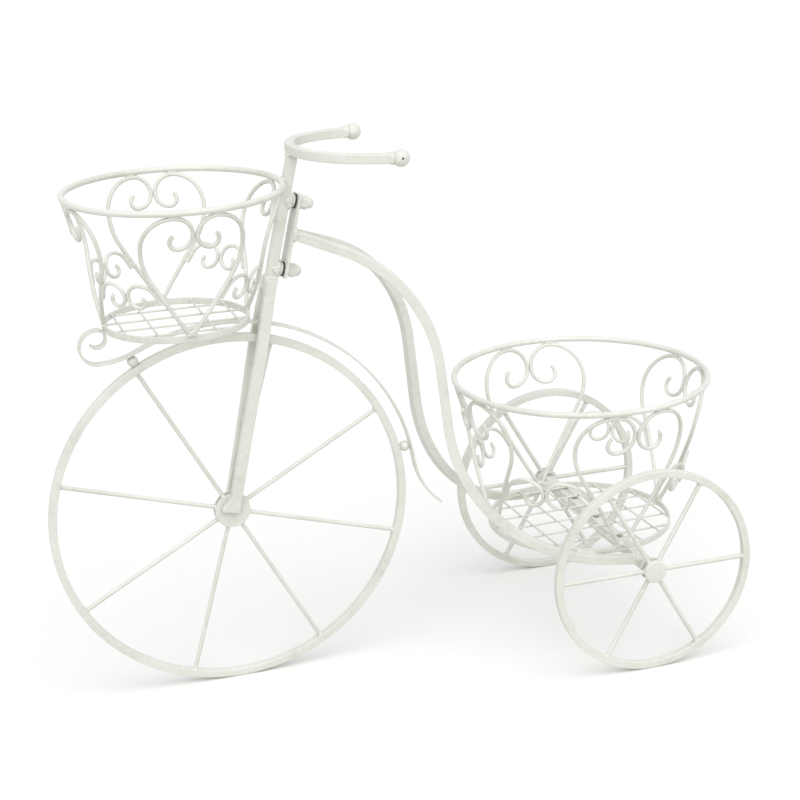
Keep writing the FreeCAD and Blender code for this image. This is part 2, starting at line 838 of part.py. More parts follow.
heart_beside = heart_half_wire + weld / 2


def heart_lean(cone, kind):
    """The lean of a heart's straight side, and the height of its foot, that let its bend meet its lobe."""
    across = size(kind + "_heart_half") - heart_beside
    bend = size(kind + "_heart_bend")
    lobe_middle = cone.slope_length - rod_half - heart_half_wire - weld - size(kind + "_heart_lobe")
    lean = 0
    for k in range(30):
        foot = heart_half_wire * math.sin(lean) + weld
        rise = lobe_middle - foot
        lean = 2 * math.atan(across / (rise + math.sqrt(rise**2 + across * (across - 2 * bend))))
    return lean, foot, rise


def heart_path(cone, kind):
    """The right-hand scroll of a heart: from the V up the side, over the lobe and into the curl."""
    lean, foot, rise = heart_lean(cone, kind)
    lobe = size(kind + "_heart_lobe")
    bend = size(kind + "_heart_bend")
    straight = (rise - bend * math.sin(lean)) / math.cos(lean)
    inner = size(kind + "_heart_half") - lobe - heart_beside
    moves = [
        ("line", straight),
        ("arc", bend, math.degrees(lean)),
        ("arc", lobe, 90),
        ("arc", inner, 90),
        ("arc", inner * size("heart_curl_share"), 90),
        ("arc", inner * size("heart_tip_share"), size("curl_turn")),
    ]
    return walk((heart_beside, foot), 90 - math.degrees(lean), moves)


def link_path(cone, kind):
    """The right-hand scroll of a link: its leg lies along a heart's side, then it arcs over and curls."""
    lean, foot, rise = heart_lean(cone, kind)
    drift = cone.spread * math.pi / 4 - math.tan(lean)
    shift = (heart_half_wire + link_half_wire + size("link_gap")) * math.hypot(1, drift)
    line_at_ring = cone.low_radius * math.pi / 4 - heart_beside + math.tan(lean) * foot - shift
    tilt = math.atan(-drift)
    top = cone.slope_length * size(kind + "_link_height_share")
    room = line_at_ring + drift * top
    spread = room * size(kind + "_link_width_share")
    shoulder = (room - spread) / (math.cos(tilt) + drift * (1 - math.sin(tilt)))
    leg = size(kind + "_link_leg")
    begin_u = spread + shoulder * math.cos(tilt) + leg * math.sin(tilt)
    begin_v = top - shoulder * (1 - math.sin(tilt)) - leg * math.cos(tilt)
    inner = spread - link_half_wire - weld / 2
    moves = [
        ("line", leg),
        ("arc", shoulder, 90 - math.degrees(tilt)),
        ("arc", inner, 90),
        ("arc", inner * size("link_curl_share"), 90),
        ("arc", inner * size("link_tip_share"), size("curl_turn")),
    ]
    return walk((begin_u, begin_v), 90 + math.degrees(tilt), moves)


def floor_wires(kind, way, ring_z, place):
    """Floor wires inside the base ring: the long ones run front to rear, the cross ones lie on them."""
    label = f"{kind}_floor_{way}"
    along_x = way == "long"
    count = int(size(f"{kind}_{way}_count"))
    outermost = size(f"{kind}_{way}_share") * (size(f"{kind}_ring_radius") - size("ring_thick"))
    wire = size("floor_wire_dia")
    level = ring_z + (wire + weld) / 2 * (-1 if along_x else 1)
    members = []
    for k in range(count):
        offset = outermost * (2 * k / (count - 1) - 1)
        inside = f"(Sizes.{kind}_ring_radius - Sizes.ring_thick)"
        edge = f"({abs(offset)} + Sizes.floor_wire_dia / 2)"
        half = f"(sqrt({inside}^2 - {edge}^2) - Sizes.weld_gap)"
        name = f"{label}_{k + 1}"
        rod = cylinder(name, "Sizes.floor_wire_dia / 2", f"2 * {half}")
        doc.recompute()
        start = -rod.Height.Value / 2
        if along_x:
            rod.Placement = placed(Vector(start, offset, level), turned(Y_AXIS, 90))
        else:
            rod.Placement = placed(Vector(offset, start, level), turned(X_AXIS, -90))
        members.append(rod)
    return together(label, members, place)


def basket(kind, centre_x, turn, ring_z):
    place = placed(Vector(centre_x, 0, 0), turned(Z_AXIS, turn))
    rim_z = size(kind + "_basket_z")
    rim = doc.addObject("Part::Torus", f"{kind}_basket_rim")
    rim.setExpression("Radius1", f"Sizes.{kind}_basket_radius")
    rim.setExpression("Radius2", "Sizes.rim_rod_dia / 2")
    node(rim, f"{kind}_basket_rim", placed(Vector(centre_x, 0, rim_z)))
    ring = ring_body(
        f"{kind}_base_ring",
        "XY_Plane",
        f"Sizes.{kind}_ring_radius",
        f"Sizes.{kind}_ring_radius - Sizes.ring_thick",
        "Sizes.ring_height",
    )
    base_ahead = size(kind + "_base_ahead")
    base_place = place.multiply(placed(Vector(-base_ahead, 0, 0)))
    node(ring, f"{kind}_base_ring", base_place.multiply(placed(Vector(0, 0, ring_z))))
    floor_wires(kind, "long", ring_z, base_place)
    floor_wires(kind, "cross", ring_z, base_place)
    ring_middle = size(kind + "_ring_radius") - size("ring_thick") / 2
    cone = Cone(ring_middle, ring_z + ring_half, size(kind + "_basket_radius"), rim_z, base_ahead)
    families = {
        "heart": (AROUND, heart_path(cone, kind), "Sizes.heart_wire_dia / 2"),
        "link": (BETWEEN, link_path(cone, kind), "Sizes.link_wire_dia / 2"),
    }
    for family, (directions, path, radius) in families.items():
        for where, around in directions.items():
            label = f"{kind}_{family}_{where}"
            halves = []
            for which, mirrored in (("a", False), ("b", True)):
                halves.append(swept_wire(f"{label}_{which}", cone, around, path, mirrored, radius))
            together(label, halves, place)


rim_touch = (post_half + rod_half + weld) / math.cos(post_rake)
front_basket_x = post_axis_x(size("front_basket_z")) - rim_touch - size("front_basket_radius")
basket("front", front_basket_x, 0, size("front_ring_z"))

rear_basket_x = axle_x - size("rear_basket_ahead")
basket("rear", rear_basket_x, size("rear_basket_turn"), size("rear_ring_z"))

# Fender strip: tail, arc round the wheel, reverse bend, and the scroll that meets the front base ring

strip_half = size("fender_thick") / 2
ball_dia = size("fender_ball_dia")
fender_radius = size("front_wheel_radius") + ball_dia + 2 * weld + strip_half
scroll = size("scroll_radius")
curl = size("scroll_curl_radius")
ring_front_x = front_basket_x - size("front_base_ahead") - size("front_ring_radius")
ring_bottom_z = size("front_ring_z") - ring_half
touch_angle = math.radians(size("scroll_touch_angle"))
touch_reach = curl + strip_half + weld
scroll_x = ring_front_x - touch_reach * math.cos(touch_angle)
scroll_bottom_z = ring_bottom_z - touch_reach * math.sin(touch_angle) + curl - 2 * scroll
low_z = scroll_bottom_z - front_hub.z
low_x = scroll_x - front_hub.x
reverse_radius = (low_z**2 + low_x**2 - fender_radius**2) / (2 * (fender_radius - low_z))
leave_angle = math.degrees(math.atan2(low_z + reverse_radius, low_x))
tail_angle = size("fender_tail_angle")
tail_turn = size("fender_tail_turn")
tail_radius = size("fender_tail_radius")
tail_root = heading_vector(tail_angle) * fender_radius
tail = walk((tail_root.x, tail_root.y), tail_angle - 90, [("arc", tail_radius, tail_turn)])
tail_tip = tail[-1]["end"]
fender_moves = [
    ("arc", tail_radius, -tail_turn),
    ("arc", fender_radius, leave_angle - tail_angle),
    ("arc", reverse_radius, 90 - leave_angle),
    ("arc", scroll, -180),
    ("arc", curl, -size("scroll_curl_turn")),
]
fender_path = walk((tail_tip.x, tail_tip.y), tail[-1]["end_heading"] + 180, fender_moves)
fender = strip_body("fender", "XZ_Plane", fender_path, size("fender_thick"), "Sizes.fender_width")
node(fender, "fender", placed(front_hub))

for where in ("front", "rear"):
    ball = doc.addObject("Part::Sphere", f"fender_ball_{where}")
    ball.setExpression("Radius", "Sizes.fender_ball_dia / 2")
    out = heading_vector(size(f"fender_{where}_ball_angle"))
    reach_out = size("front_wheel_radius") + weld + ball_dia / 2
    node(ball, f"fender_ball_{where}", placed(front_hub + Vector(out.x, 0, out.y) * reach_out))

# Frame bars: two S-shaped bars that leave the plate side by side, touch the rear base ring and meet the axle

plate_middle_height = (plate_low + plate_high) / 2 + size("frame_start_up")
plate_place = post_place.multiply(placed(Vector(plate_back + weld, 0, plate_middle_height)))
frame_x = plate_place.Base.x
frame_z = plate_place.Base.z
turn_angle = math.radians(size("rear_basket_turn"))
ring_x = rear_basket_x - size("rear_base_ahead") * math.cos(turn_angle)
ring_side = size("rear_base_ahead") * abs(math.sin(turn_angle))
beside_ring = size("rear_ring_radius") + ring_side + weld + bar / 2
frame_splay = 0
for k in range(30):
    frame_side = bar / 2 / math.cos(frame_splay) + size("frame_start_side")
    frame_splay = math.asin((beside_ring - frame_side * math.cos(frame_splay)) / (ring_x - frame_x))
axle_front_x = axle_x - half_axle - weld
frame_end_z = axle_z + size("frame_end_rise")
frame_reach = (axle_front_x - frame_x) / math.cos(frame_splay)
start_angle = math.radians(size("frame_start_angle"))
steep_angle = math.radians(size("frame_steep_angle"))
first = frame_reach * size("frame_first_share")
upper = frame_reach * size("frame_upper_share")
lower = frame_reach * size("frame_lower_share")
drop = frame_z - frame_end_z
upper_drop = upper * (math.cos(start_angle) - math.cos(steep_angle))
lower_drop = lower * (1 - math.cos(steep_angle))
steep_length = (drop - first * math.sin(start_angle) - upper_drop - lower_drop) / math.sin(steep_angle)
upper_run = upper * (math.sin(steep_angle) - math.sin(start_angle))
lower_run = lower * math.sin(steep_angle)
run = first * math.cos(start_angle) + upper_run + steep_length * math.cos(steep_angle) + lower_run
spare = 1.5 * bar
begin = Vector(0, frame_z, 0) - heading_vector(-size("frame_start_angle")) * spare
frame_moves = [
    ("line", first + spare),
    ("arc", upper, size("frame_start_angle") - size("frame_steep_angle")),
    ("line", steep_length),
    ("arc", lower, size("frame_steep_angle")),
    ("line", frame_reach - run + spare),
]
frame_path = walk((begin.x, begin.y), -size("frame_start_angle"), frame_moves)


def trim_block(name, placement):
    """A block that takes off the spare length of a bar; it fills the space behind its own YZ plane."""
    block = doc.addObject("Part::Box", name)
    block.setExpression("Length", "4 * Sizes.bar_stock")
    block.setExpression("Width", "12 * Sizes.bar_stock")
    block.setExpression("Height", "12 * Sizes.bar_stock")
    block.Placement = placement.multiply(placed(Vector(-4 * bar, -6 * bar, -6 * bar)))
    return block


for side, sign in SIDES.items():
    label = f"frame_bar_{side}"
    whole = strip_body(label + "_whole", "XZ_Plane", frame_path, bar, "Sizes.bar_stock")
    frame_turn = turned(Z_AXIS, sign * math.degrees(frame_splay))
    whole.Placement = placed(Vector(frame_x, sign * frame_side, 0), frame_turn)
    end_y = sign * (frame_side + (axle_front_x - frame_x) * math.tan(frame_splay))
    end_place = placed(Vector(axle_front_x, end_y, frame_end_z), turned(Z_AXIS, 180))
    from_plate = cut(label + "_from_plate", whole, trim_block(label + "_start", plate_place))
    node(cut(label, from_plate, trim_block(label + "_end", end_place)), label)

# Check every object, then write one STEP file for each piece

doc.recompute()
faults = []
for part in doc.Objects:
    if "Invalid" in part.State or "Error" in part.State:
        faults.append(f"{part.Name}: {part.State}")
for label, part in nodes.items():
    if part.Shape.isNull() or not part.Shape.isValid() or not part.Shape.Solids:
        faults.append(f"{label}: no valid solid")
if faults:
    raise RuntimeError("; ".join(faults))

os.makedirs("parts", exist_ok=True)
for label, part in nodes.items():
    part.Shape.exportStep(f"parts/{label}.step")
print(len(nodes), "pieces written")
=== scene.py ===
import json
import math
import random

import bmesh
import bpy
import numpy as np
from mathutils import Matrix, Vector, noise
from mathutils.bvhtree import BVHTree


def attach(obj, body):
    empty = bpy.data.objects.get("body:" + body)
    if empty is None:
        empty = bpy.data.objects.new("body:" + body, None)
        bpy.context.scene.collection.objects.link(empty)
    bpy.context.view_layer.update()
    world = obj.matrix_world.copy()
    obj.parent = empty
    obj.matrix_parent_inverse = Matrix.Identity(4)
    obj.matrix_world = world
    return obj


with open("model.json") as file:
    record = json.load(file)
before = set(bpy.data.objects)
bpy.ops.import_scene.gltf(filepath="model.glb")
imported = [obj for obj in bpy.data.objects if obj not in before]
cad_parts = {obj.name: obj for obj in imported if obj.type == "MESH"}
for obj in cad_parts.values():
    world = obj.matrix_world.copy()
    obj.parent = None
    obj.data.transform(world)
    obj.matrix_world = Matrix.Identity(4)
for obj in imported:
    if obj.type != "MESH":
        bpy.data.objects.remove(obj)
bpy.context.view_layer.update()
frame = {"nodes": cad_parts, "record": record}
nodes = frame["nodes"]
record = frame["record"]
body_of = {n: body for body, members in record["behaviour"]["bodies"].items() for n in members}
slot_of = {part["node"]: part["material_slot"] for part in record["subparts"]}
rng = random.Random(4213)
MM = 0.001


# Camera at the photograph's viewing angle

CAMERA_AT = Vector((-0.56988, -1.81956, 0.92891))
CAMERA_AZIMUTH = math.radians(-17.84)
CAMERA_ELEVATION = math.radians(18.41)
CAMERA_ROLL = math.radians(-1.72)
CAMERA_LENS = 83.597
CAMERA_SENSOR = 36


def add_camera():
    data = bpy.data.cameras.new("camera")
    data.sensor_fit = "HORIZONTAL"
    data.sensor_width = CAMERA_SENSOR
    data.lens = CAMERA_LENS
    camera = bpy.data.objects.new("camera", data)
    bpy.context.scene.collection.objects.link(camera)
    across = Vector((math.cos(CAMERA_AZIMUTH), math.sin(CAMERA_AZIMUTH), 0))
    level = math.cos(CAMERA_ELEVATION)
    back = across.cross(Vector((0, 0, 1))) * level
    back.z = math.sin(CAMERA_ELEVATION)
    upward = back.cross(across)
    local_x = across * math.cos(CAMERA_ROLL) + upward * math.sin(CAMERA_ROLL)
    local_y = upward * math.cos(CAMERA_ROLL) - across * math.sin(CAMERA_ROLL)
    turn = Matrix((local_x, local_y, back)).transposed().to_4x4()
    camera.matrix_world = Matrix.Translation(CAMERA_AT) @ turn
    bpy.context.scene.camera = camera


# Materials

CREAM_LIGHT = (0.80, 0.81, 0.77)
CREAM = (0.75, 0.76, 0.705)
CREAM_SHADED = tuple(0.97 * c for c in CREAM)
CREAM_DEEP = (0.66, 0.67, 0.605)
# Brown-grey colour of the painted shade in corners and gaps
CORNER_SHADE = (0.36, 0.33, 0.26)
CHIP = (0.19, 0.165, 0.13)
RUBBER_DARK = (0.018, 0.018, 0.02)
RUBBER_PALE = (0.045, 0.045, 0.047)
STEEL_DARK = (0.36, 0.36, 0.37)
STEEL_PALE = (0.6, 0.6, 0.6)

# The range that holds most of a noise's values
NOISE_RANGE = (0.3, 0.7)

# The paint's detail: scales in features per metre, reaches and depths in metres, the rest in shares
CLOUDS = 14
CLOUD_SHARE = 0.7
GRAINS = 170
GRAIN_SHARE = 0.3
MOTTLE_STOPS = (0.34, 0.5, 0.66)
# Painted shade in corners and gaps: its patches, its reach, the openness it spans, its strongest share and
# its samples
CORNER_SHADE_PATCHES = 60
CORNER_SHADE_PATCH_LEAST = 0.35
CORNER_SHADE_REACH = 0.009
CORNER_SHADE_OPENNESS = (0.2, 0.8)
CORNER_SHADE_MOST = 0.5
CORNER_SHADE_SAMPLES = 6
CHIP_CELLS = 150
CHIP_RIM = (0.09, 0.13)
CHIP_PATCHES = 31
CHIP_FADE = 0.02
CHIP_DEPTH = 0.0002
CHIP_STRENGTH = 0.6
LUMPS = 120
LUMP_DEPTH = 0.0009
PEEL = 900
PEEL_DEPTH = 0.00012
PEEL_STRENGTH = 0.35
SMOOTHER = 0.07
ROUGHER = 0.09
SHEEN = {"Specular IOR Level": 0.42, "Coat Weight": 0.12, "Coat Roughness": 0.22}

RUBBER_GRAINS = 500
RUBBER_STOPS = (0.35, 0.7)
RUBBER_ROUGHNESS = (0.55, 0.75)
RUBBER_DEPTH = 0.0002
RUBBER_STRENGTH = 0.4

STEEL_LINES = 300
STEEL_STRETCH = (1, 12, 1)
STEEL_ROUGHNESS = (0.28, 0.5)
STEEL_DEPTH = 0.0001
STEEL_STRENGTH = 0.3


class Nodes:
    """A short way to build the node tree of a material or of the world."""

    def __init__(self, owner):
        owner.use_nodes = True
        self.tree = owner.node_tree
        self.shader = self.tree.nodes.get("Principled BSDF")

    def add(self, kind, **settings):
        made = self.tree.nodes.new(kind)
        for name, value in settings.items():
            setattr(made, name, value)
        return made

    def link(self, out, into):
        self.tree.links.new(out, into)

    def noise(self, coords, scale, detail=3.0, rough=0.55):
        made = self.add("ShaderNodeTexNoise")
        made.inputs["Scale"].default_value = scale
        made.inputs["Detail"].default_value = detail
        made.inputs["Roughness"].default_value = rough
        self.link(coords, made.inputs["Vector"])
        return made.outputs["Fac"]

    def ramp(self, fac, stops, colours):
        made = self.add("ShaderNodeValToRGB")
        ramp = made.color_ramp
        while len(ramp.elements) < len(stops):
            ramp.elements.new(0.5)
        for element, at, colour in zip(ramp.elements, stops, colours):
            element.position = at
            element.color = (*colour, 1)
        self.link(fac, made.inputs["Fac"])
        return made.outputs["Color"]

    def spread(self, value, low, high, to_low, to_high):
        made = self.add("ShaderNodeMapRange")
        for name, number in (("From Min", low), ("From Max", high), ("To Min", to_low), ("To Max", to_high)):
            made.inputs[name].default_value = number
        self.link(value, made.inputs["Value"])
        return made.outputs["Result"]

    def mix(self, fac, a, b):
        made = self.add("ShaderNodeMix", data_type="RGBA")
        self.link(fac, made.inputs["Factor"])
        for socket, value in ((made.inputs["A"], a), (made.inputs["B"], b)):
            if isinstance(value, tuple):
                socket.default_value = (*value, 1)
            else:
                self.link(value, socket)
        return made.outputs["Result"]

    def maths(self, operation, a, b):
        made = self.add("ShaderNodeMath", operation=operation)
        for socket, value in ((made.inputs[0], a), (made.inputs[1], b)):
            if isinstance(value, (int, float)):
                socket.default_value = value
            else:
                self.link(value, socket)
        return made.outputs["Value"]

    def bump(self, height, distance, strength, onto=None):
        made = self.add("ShaderNodeBump")
        made.inputs["Distance"].default_value = distance
        made.inputs["Strength"].default_value = strength
        self.link(height, made.inputs["Height"])
        if onto is not None:
            self.link(onto, made.inputs["Normal"])
        return made.outputs["Normal"]

    def shown(self):
        """1 on the rays that show the background: straight, mirrored or through glass."""
        path = self.add("ShaderNodeLightPath").outputs
        mirrored = self.maths("MAXIMUM", path["Is Camera Ray"], path["Is Glossy Ray"])
        return self.maths("MAXIMUM", mirrored, path["Is Transmission Ray"])


def painted(name, cream, roughness, lumpy, chips_above):
    """Hand-sprayed antique paint: mottled colour, painted shade in corners, a few chips, lumps and orange
    peel.
    """
    material = bpy.data.materials.new(name)
    tree = Nodes(material)
    shader = tree.shader.inputs
    coords = tree.add("ShaderNodeTexCoord").outputs["Object"]
    cloud = tree.noise(coords, CLOUDS, detail=4.0)
    grain = tree.noise(coords, GRAINS)
    clouded = tree.maths("MULTIPLY", cloud, CLOUD_SHARE)
    mottle = tree.maths("ADD", clouded, tree.maths("MULTIPLY", grain, GRAIN_SHARE))
    colour = tree.ramp(mottle, MOTTLE_STOPS, (CREAM_DEEP, cream, CREAM_LIGHT))
    # Painted shade: ambient occlusion turns the colour brown-grey in corners and gaps where shade falls, in
    # patches
    corner = tree.add("ShaderNodeAmbientOcclusion", samples=CORNER_SHADE_SAMPLES)
    corner.inputs["Distance"].default_value = CORNER_SHADE_REACH
    closed = tree.spread(corner.outputs["AO"], *CORNER_SHADE_OPENNESS, CORNER_SHADE_MOST, 0.0)
    patches = tree.spread(tree.noise(coords, CORNER_SHADE_PATCHES), *NOISE_RANGE, CORNER_SHADE_PATCH_LEAST, 1.0)
    colour = tree.mix(tree.maths("MULTIPLY", closed, patches), colour, CORNER_SHADE)
    spots = tree.add("ShaderNodeTexVoronoi", feature="F1")
    spots.inputs["Scale"].default_value = CHIP_CELLS
    tree.link(coords, spots.inputs["Vector"])
    spot = tree.spread(spots.outputs["Distance"], *CHIP_RIM, 1.0, 0.0)
    patch = tree.noise(coords, CHIP_PATCHES, detail=2.0)
    rare = tree.spread(patch, chips_above, chips_above + CHIP_FADE, 0.0, 1.0)
    chip = tree.maths("MULTIPLY", spot, rare)
    tree.link(tree.mix(chip, colour, CHIP), shader["Base Color"])
    rough = tree.spread(grain, *NOISE_RANGE, roughness - SMOOTHER, roughness + ROUGHER)
    tree.link(rough, shader["Roughness"])
    for socket, value in SHEEN.items():
        shader[socket].default_value = value
    lumps = tree.bump(tree.noise(coords, LUMPS, detail=2.0), LUMP_DEPTH, lumpy)
    peel = tree.bump(tree.noise(coords, PEEL, detail=2.0), PEEL_DEPTH, PEEL_STRENGTH, lumps)
    unchipped = tree.maths("SUBTRACT", 1.0, chip)
    tree.link(tree.bump(unchipped, CHIP_DEPTH, CHIP_STRENGTH, peel), shader["Normal"])
    return material


def rubbery(name):
    material = bpy.data.materials.new(name)
    tree = Nodes(material)
    coords = tree.add("ShaderNodeTexCoord").outputs["Object"]
    grain = tree.noise(coords, RUBBER_GRAINS, detail=4.0)
    colour = tree.ramp(grain, RUBBER_STOPS, (RUBBER_DARK, RUBBER_PALE))
    tree.link(colour, tree.shader.inputs["Base Color"])
    tree.link(tree.spread(grain, *NOISE_RANGE, *RUBBER_ROUGHNESS), tree.shader.inputs["Roughness"])
    tree.link(tree.bump(grain, RUBBER_DEPTH, RUBBER_STRENGTH), tree.shader.inputs["Normal"])
    return material


def steely(name):
    material = bpy.data.materials.new(name)
    tree = Nodes(material)
    coords = tree.add("ShaderNodeTexCoord").outputs["Object"]
    stretch = tree.add("ShaderNodeMapping")
    stretch.inputs["Scale"].default_value = STEEL_STRETCH
    tree.link(coords, stretch.inputs["Vector"])
    lines = tree.noise(stretch.outputs["Vector"], STEEL_LINES)
    colour = tree.ramp(lines, NOISE_RANGE, (STEEL_DARK, STEEL_PALE))
    tree.link(colour, tree.shader.inputs["Base Color"])
    tree.shader.inputs["Metallic"].default_value = 1
    tree.link(tree.spread(lines, *NOISE_RANGE, *STEEL_ROUGHNESS), tree.shader.inputs["Roughness"])
    tree.link(tree.bump(lines, STEEL_DEPTH, STEEL_STRENGTH), tree.shader.inputs["Normal"])
    return material


materials = {
    "frame_paint": painted("frame_paint", CREAM, roughness=0.34, lumpy=0.5, chips_above=0.72),
    "wire_paint": painted("wire_paint", CREAM_SHADED, roughness=0.38, lumpy=0.6, chips_above=0.725),
    "fitting_paint": painted("fitting_paint", CREAM_SHADED, roughness=0.32, lumpy=0.4, chips_above=0.72),
    "rubber": rubbery("rubber"),
    "steel": steely("steel"),
}
for name, obj in nodes.items():
    obj.data.materials.clear()
    obj.data.materials.append(materials[slot_of[name]])


# Rounded edges of the rolled bar, strip and plate

JOIN_WITHIN = 0.001 * MM
FLAT_WITHIN = math.radians(0.4)
EDGE_ROUND = {
    # Radius in mm
    "frame_bar_left": 1.0,
    "frame_bar_right": 1.0,
    "handlebar": 1.2,
    "steering_post": 1.0,
    "fork_leg_left": 1.0,
    "fork_leg_right": 1.0,
    "rear_axle": 0.9,
    "fender": 0.6,
    "head_plate": 0.6,
    "front_base_ring": 0.6,
    "rear_base_ring": 0.6,
    "front_hub": 0.5,
}


def rounded(obj, radius, segments, angle):
    """Bevels the edges of an object that are sharper than an angle in degrees."""
    bevel = obj.modifiers.new("round", "BEVEL")
    bevel.width = radius * MM
    bevel.segments = segments
    bevel.limit_method = "ANGLE"
    bevel.angle_limit = math.radians(angle)
    even = obj.modifiers.new("even", "WEIGHTED_NORMAL")
    even.keep_sharp = False


for name, radius in EDGE_ROUND.items():
    join = nodes[name].modifiers.new("join", "WELD")
    join.merge_threshold = JOIN_WITHIN
    flat = nodes[name].modifiers.new("flat", "DECIMATE")
    flat.decimate_type = "DISSOLVE"
    flat.angle_limit = FLAT_WITHIN
    rounded(nodes[name], radius, segments=2, angle=40)


# Weld beads, laid where pieces of one body nearly touch

WELD_FAMILIES = {"rear_left_wheel": "rear_wheel_left", "rear_right_wheel": "rear_wheel_right"}
BEAD_REACH = 0.55 * MM
SAMPLE_STEP = 1.2 * MM
SAMPLE_GRID = 0.3 * MM
SAME_PLACE = 0.05 * MM
WELD_SKIN = 0.5 * MM
WELD_SOFTENING = 0.5
WELD_SOFTENINGS = 3
BEAD_SIZES = (0.85, 1.15)
BEAD_LUMP = 0.22
BEAD_LUMPS = 1.6
SEED_SPAN = 50
BOLTED = {"head_rubbers", "head_washers", "head_studs", "cap_nuts", "axle_nut_left", "axle_nut_right"}
BOLTED |= {"axle_washer_left", "axle_washer_right"}
HEART_FOOT_BAND = 4.5 * MM
HEART_FOOT_BEAD = 3.0 * MM
BOSS_CHEEK = [
    # Each bead: mm in front of the boss's seat, mm above its axis, radius in mm
    (0.2, 0.0, 2.6),
    (2.4, 1.8, 2.3),
    (2.6, -1.6, 2.4),
    (4.8, 0.3, 2.0),
    (0.8, 4.0, 2.2),
    (0.6, -4.2, 2.2),
]
BEAD_RADIUS = [
    # Parts of the two nodes' names and the bead's radius in mm; the first row that fits a pair counts
    ("floor_cross", "floor_long", 0),
    ("handlebar_ball", "handlebar", 0),
    ("heart", "base_ring", 2.1),
    ("heart", "basket_rim", 1.75),
    ("link", "heart", 1.3),
    ("floor", "base_ring", 1.35),
    ("basket_rim", "steering_post", 3.0),
    ("frame_bar", "head_plate", 3.2),
    ("frame_bar", "rear_axle", 2.4),
    ("head_bosses", "steering_post", 3.0),
    ("fork_leg", "steering_post", 2.2),
    ("fork_leg", "front_hub", 1.8),
    ("handlebar", "steering_post", 2.2),
    ("base_ring", "", 2.0),
    ("", "", 1.6),
]


def mesh_arrays(obj):
    mesh = obj.data
    points = np.zeros(len(mesh.vertices) * 3)
    mesh.vertices.foreach_get("co", points)
    edges = np.zeros(len(mesh.edges) * 2, dtype=np.int64)
    mesh.edges.foreach_get("vertices", edges)
    return points.reshape(-1, 3), edges.reshape(-1, 2)


arrays = {name: mesh_arrays(obj) for name, obj in nodes.items()}
boxes = {name: (points.min(0), points.max(0)) for name, (points, edges) in arrays.items()}
trees = {}


def tree_of(name):
    if name not in trees:
        trees[name] = BVHTree.FromPolygons(
            [Vector(p) for p in arrays[name][0]],
            [tuple(face.vertices) for face in nodes[name].data.polygons],
        )
    return trees[name]


def samples(name, low, high):
    """Points along the mesh edges of a node that lie in a box."""
    points, edges = arrays[name]
    a = points[edges[:, 0]]
    b = points[edges[:, 1]]
    meets = np.all((np.minimum(a, b) <= high) & (np.maximum(a, b) >= low), axis=1)
    found = set()
    for start, end in zip(a[meets], b[meets]):
        count = max(1, int(np.linalg.norm(end - start) / SAMPLE_STEP))
        for k in range(count + 1):
            point = start + (end - start) * (k / count)
            if np.all(point >= low) and np.all(point <= high):
                found.add(tuple(np.round(point / SAMPLE_GRID).astype(int)))
    return [Vector(p) * SAMPLE_GRID for p in sorted(found)]


def contacts(a, b):
    """Middle points of the places where two nodes nearly touch."""
    low = np.maximum(boxes[a][0], boxes[b][0]) - BEAD_REACH
    high = np.minimum(boxes[a][1], boxes[b][1]) + BEAD_REACH
    if np.any(low > high):
        return []
    middles = []
    for one, other in ((a, b), (b, a)):
        tree = tree_of(other)
        for point in samples(one, low, high):
            nearest = tree.find_nearest(point, BEAD_REACH)[0]
            if nearest is not None:
                middles.append((point + nearest) / 2)
    return middles


def corners(name):
    """The distinct vertices of a node's mesh."""
    kept = []
    for point in arrays[name][0]:
        place = Vector(point)
        if all((place - other).length > SAME_PLACE for other in kept):
            kept.append(place)
    return kept


def middle(places):
    return sum(places, Vector()) / len(places)


def thinned(points, pitch):
    """One middle point for each cell of a grid that holds any of the points."""
    cells = {}
    for point in points:
        cells.setdefault(tuple(round(c / pitch) for c in point), []).append(point)
    return [middle(cells[cell]) for cell in sorted(cells)]


def blob_template():
    """Points and faces of a plain ball of radius 1."""
    made = bmesh.new()
    bmesh.ops.create_icosphere(made, subdivisions=2, radius=1)
    points = [v.co.copy() for v in made.verts]
    faces = [tuple(v.index for v in f.verts) for f in made.faces]
    made.free()
    return points, faces


BLOB_POINTS, BLOB_FACES = blob_template()


def noise_seed():
    return Vector([rng.uniform(0, SEED_SPAN) for axis in range(3)])


def add_piece(name, mesh, body, slot):
    mesh.polygons.foreach_set("use_smooth", [True] * len(mesh.polygons))
    obj = bpy.data.objects.new(name, mesh)
    bpy.context.scene.collection.objects.link(obj)
    mesh.materials.append(materials[slot])
    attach(obj, body)
    return obj


def made_mesh(name, points, faces):
    mesh = bpy.data.meshes.new(name)
    mesh.from_pydata(points, [], faces)
    return mesh


def fused(name, mesh):
    """One closed skin around overlapping lumps."""
    lumps = bpy.data.objects.new("lumps", mesh)
    bpy.context.scene.collection.objects.link(lumps)
    skin = lumps.modifiers.new("skin", "REMESH")
    skin.mode = "VOXEL"
    skin.voxel_size = WELD_SKIN
    soft = lumps.modifiers.new("soft", "SMOOTH")
    soft.factor = WELD_SOFTENING
    soft.iterations = WELD_SOFTENINGS
    graph = bpy.context.evaluated_depsgraph_get()
    joined = bpy.data.meshes.new_from_object(lumps.evaluated_get(graph))
    joined.name = name
    bpy.data.objects.remove(lumps)
    bpy.data.meshes.remove(mesh)
    return joined


def bead_lumps(places):
    """Points and faces of lumpy beads at the given places, each with its radius."""
    points = []
    faces = []
    for place, radius in places:
        base = len(points)
        size = radius * rng.uniform(*BEAD_SIZES)
        seed = noise_seed()
        for point in BLOB_POINTS:
            lump = 1 + BEAD_LUMP * noise.noise(point * BEAD_LUMPS + seed)
            points.append(place + point * size * lump)
        faces.extend(tuple(base + k for k in face) for face in BLOB_FACES)
    return points, faces


def heart_foot(name):
    """The place of the bead that joins the two feet of a heart."""
    points = arrays[name][0]
    lowest = points[points[:, 2] < points[:, 2].min() + HEART_FOOT_BAND]
    return Vector(lowest.mean(0)), HEART_FOOT_BEAD


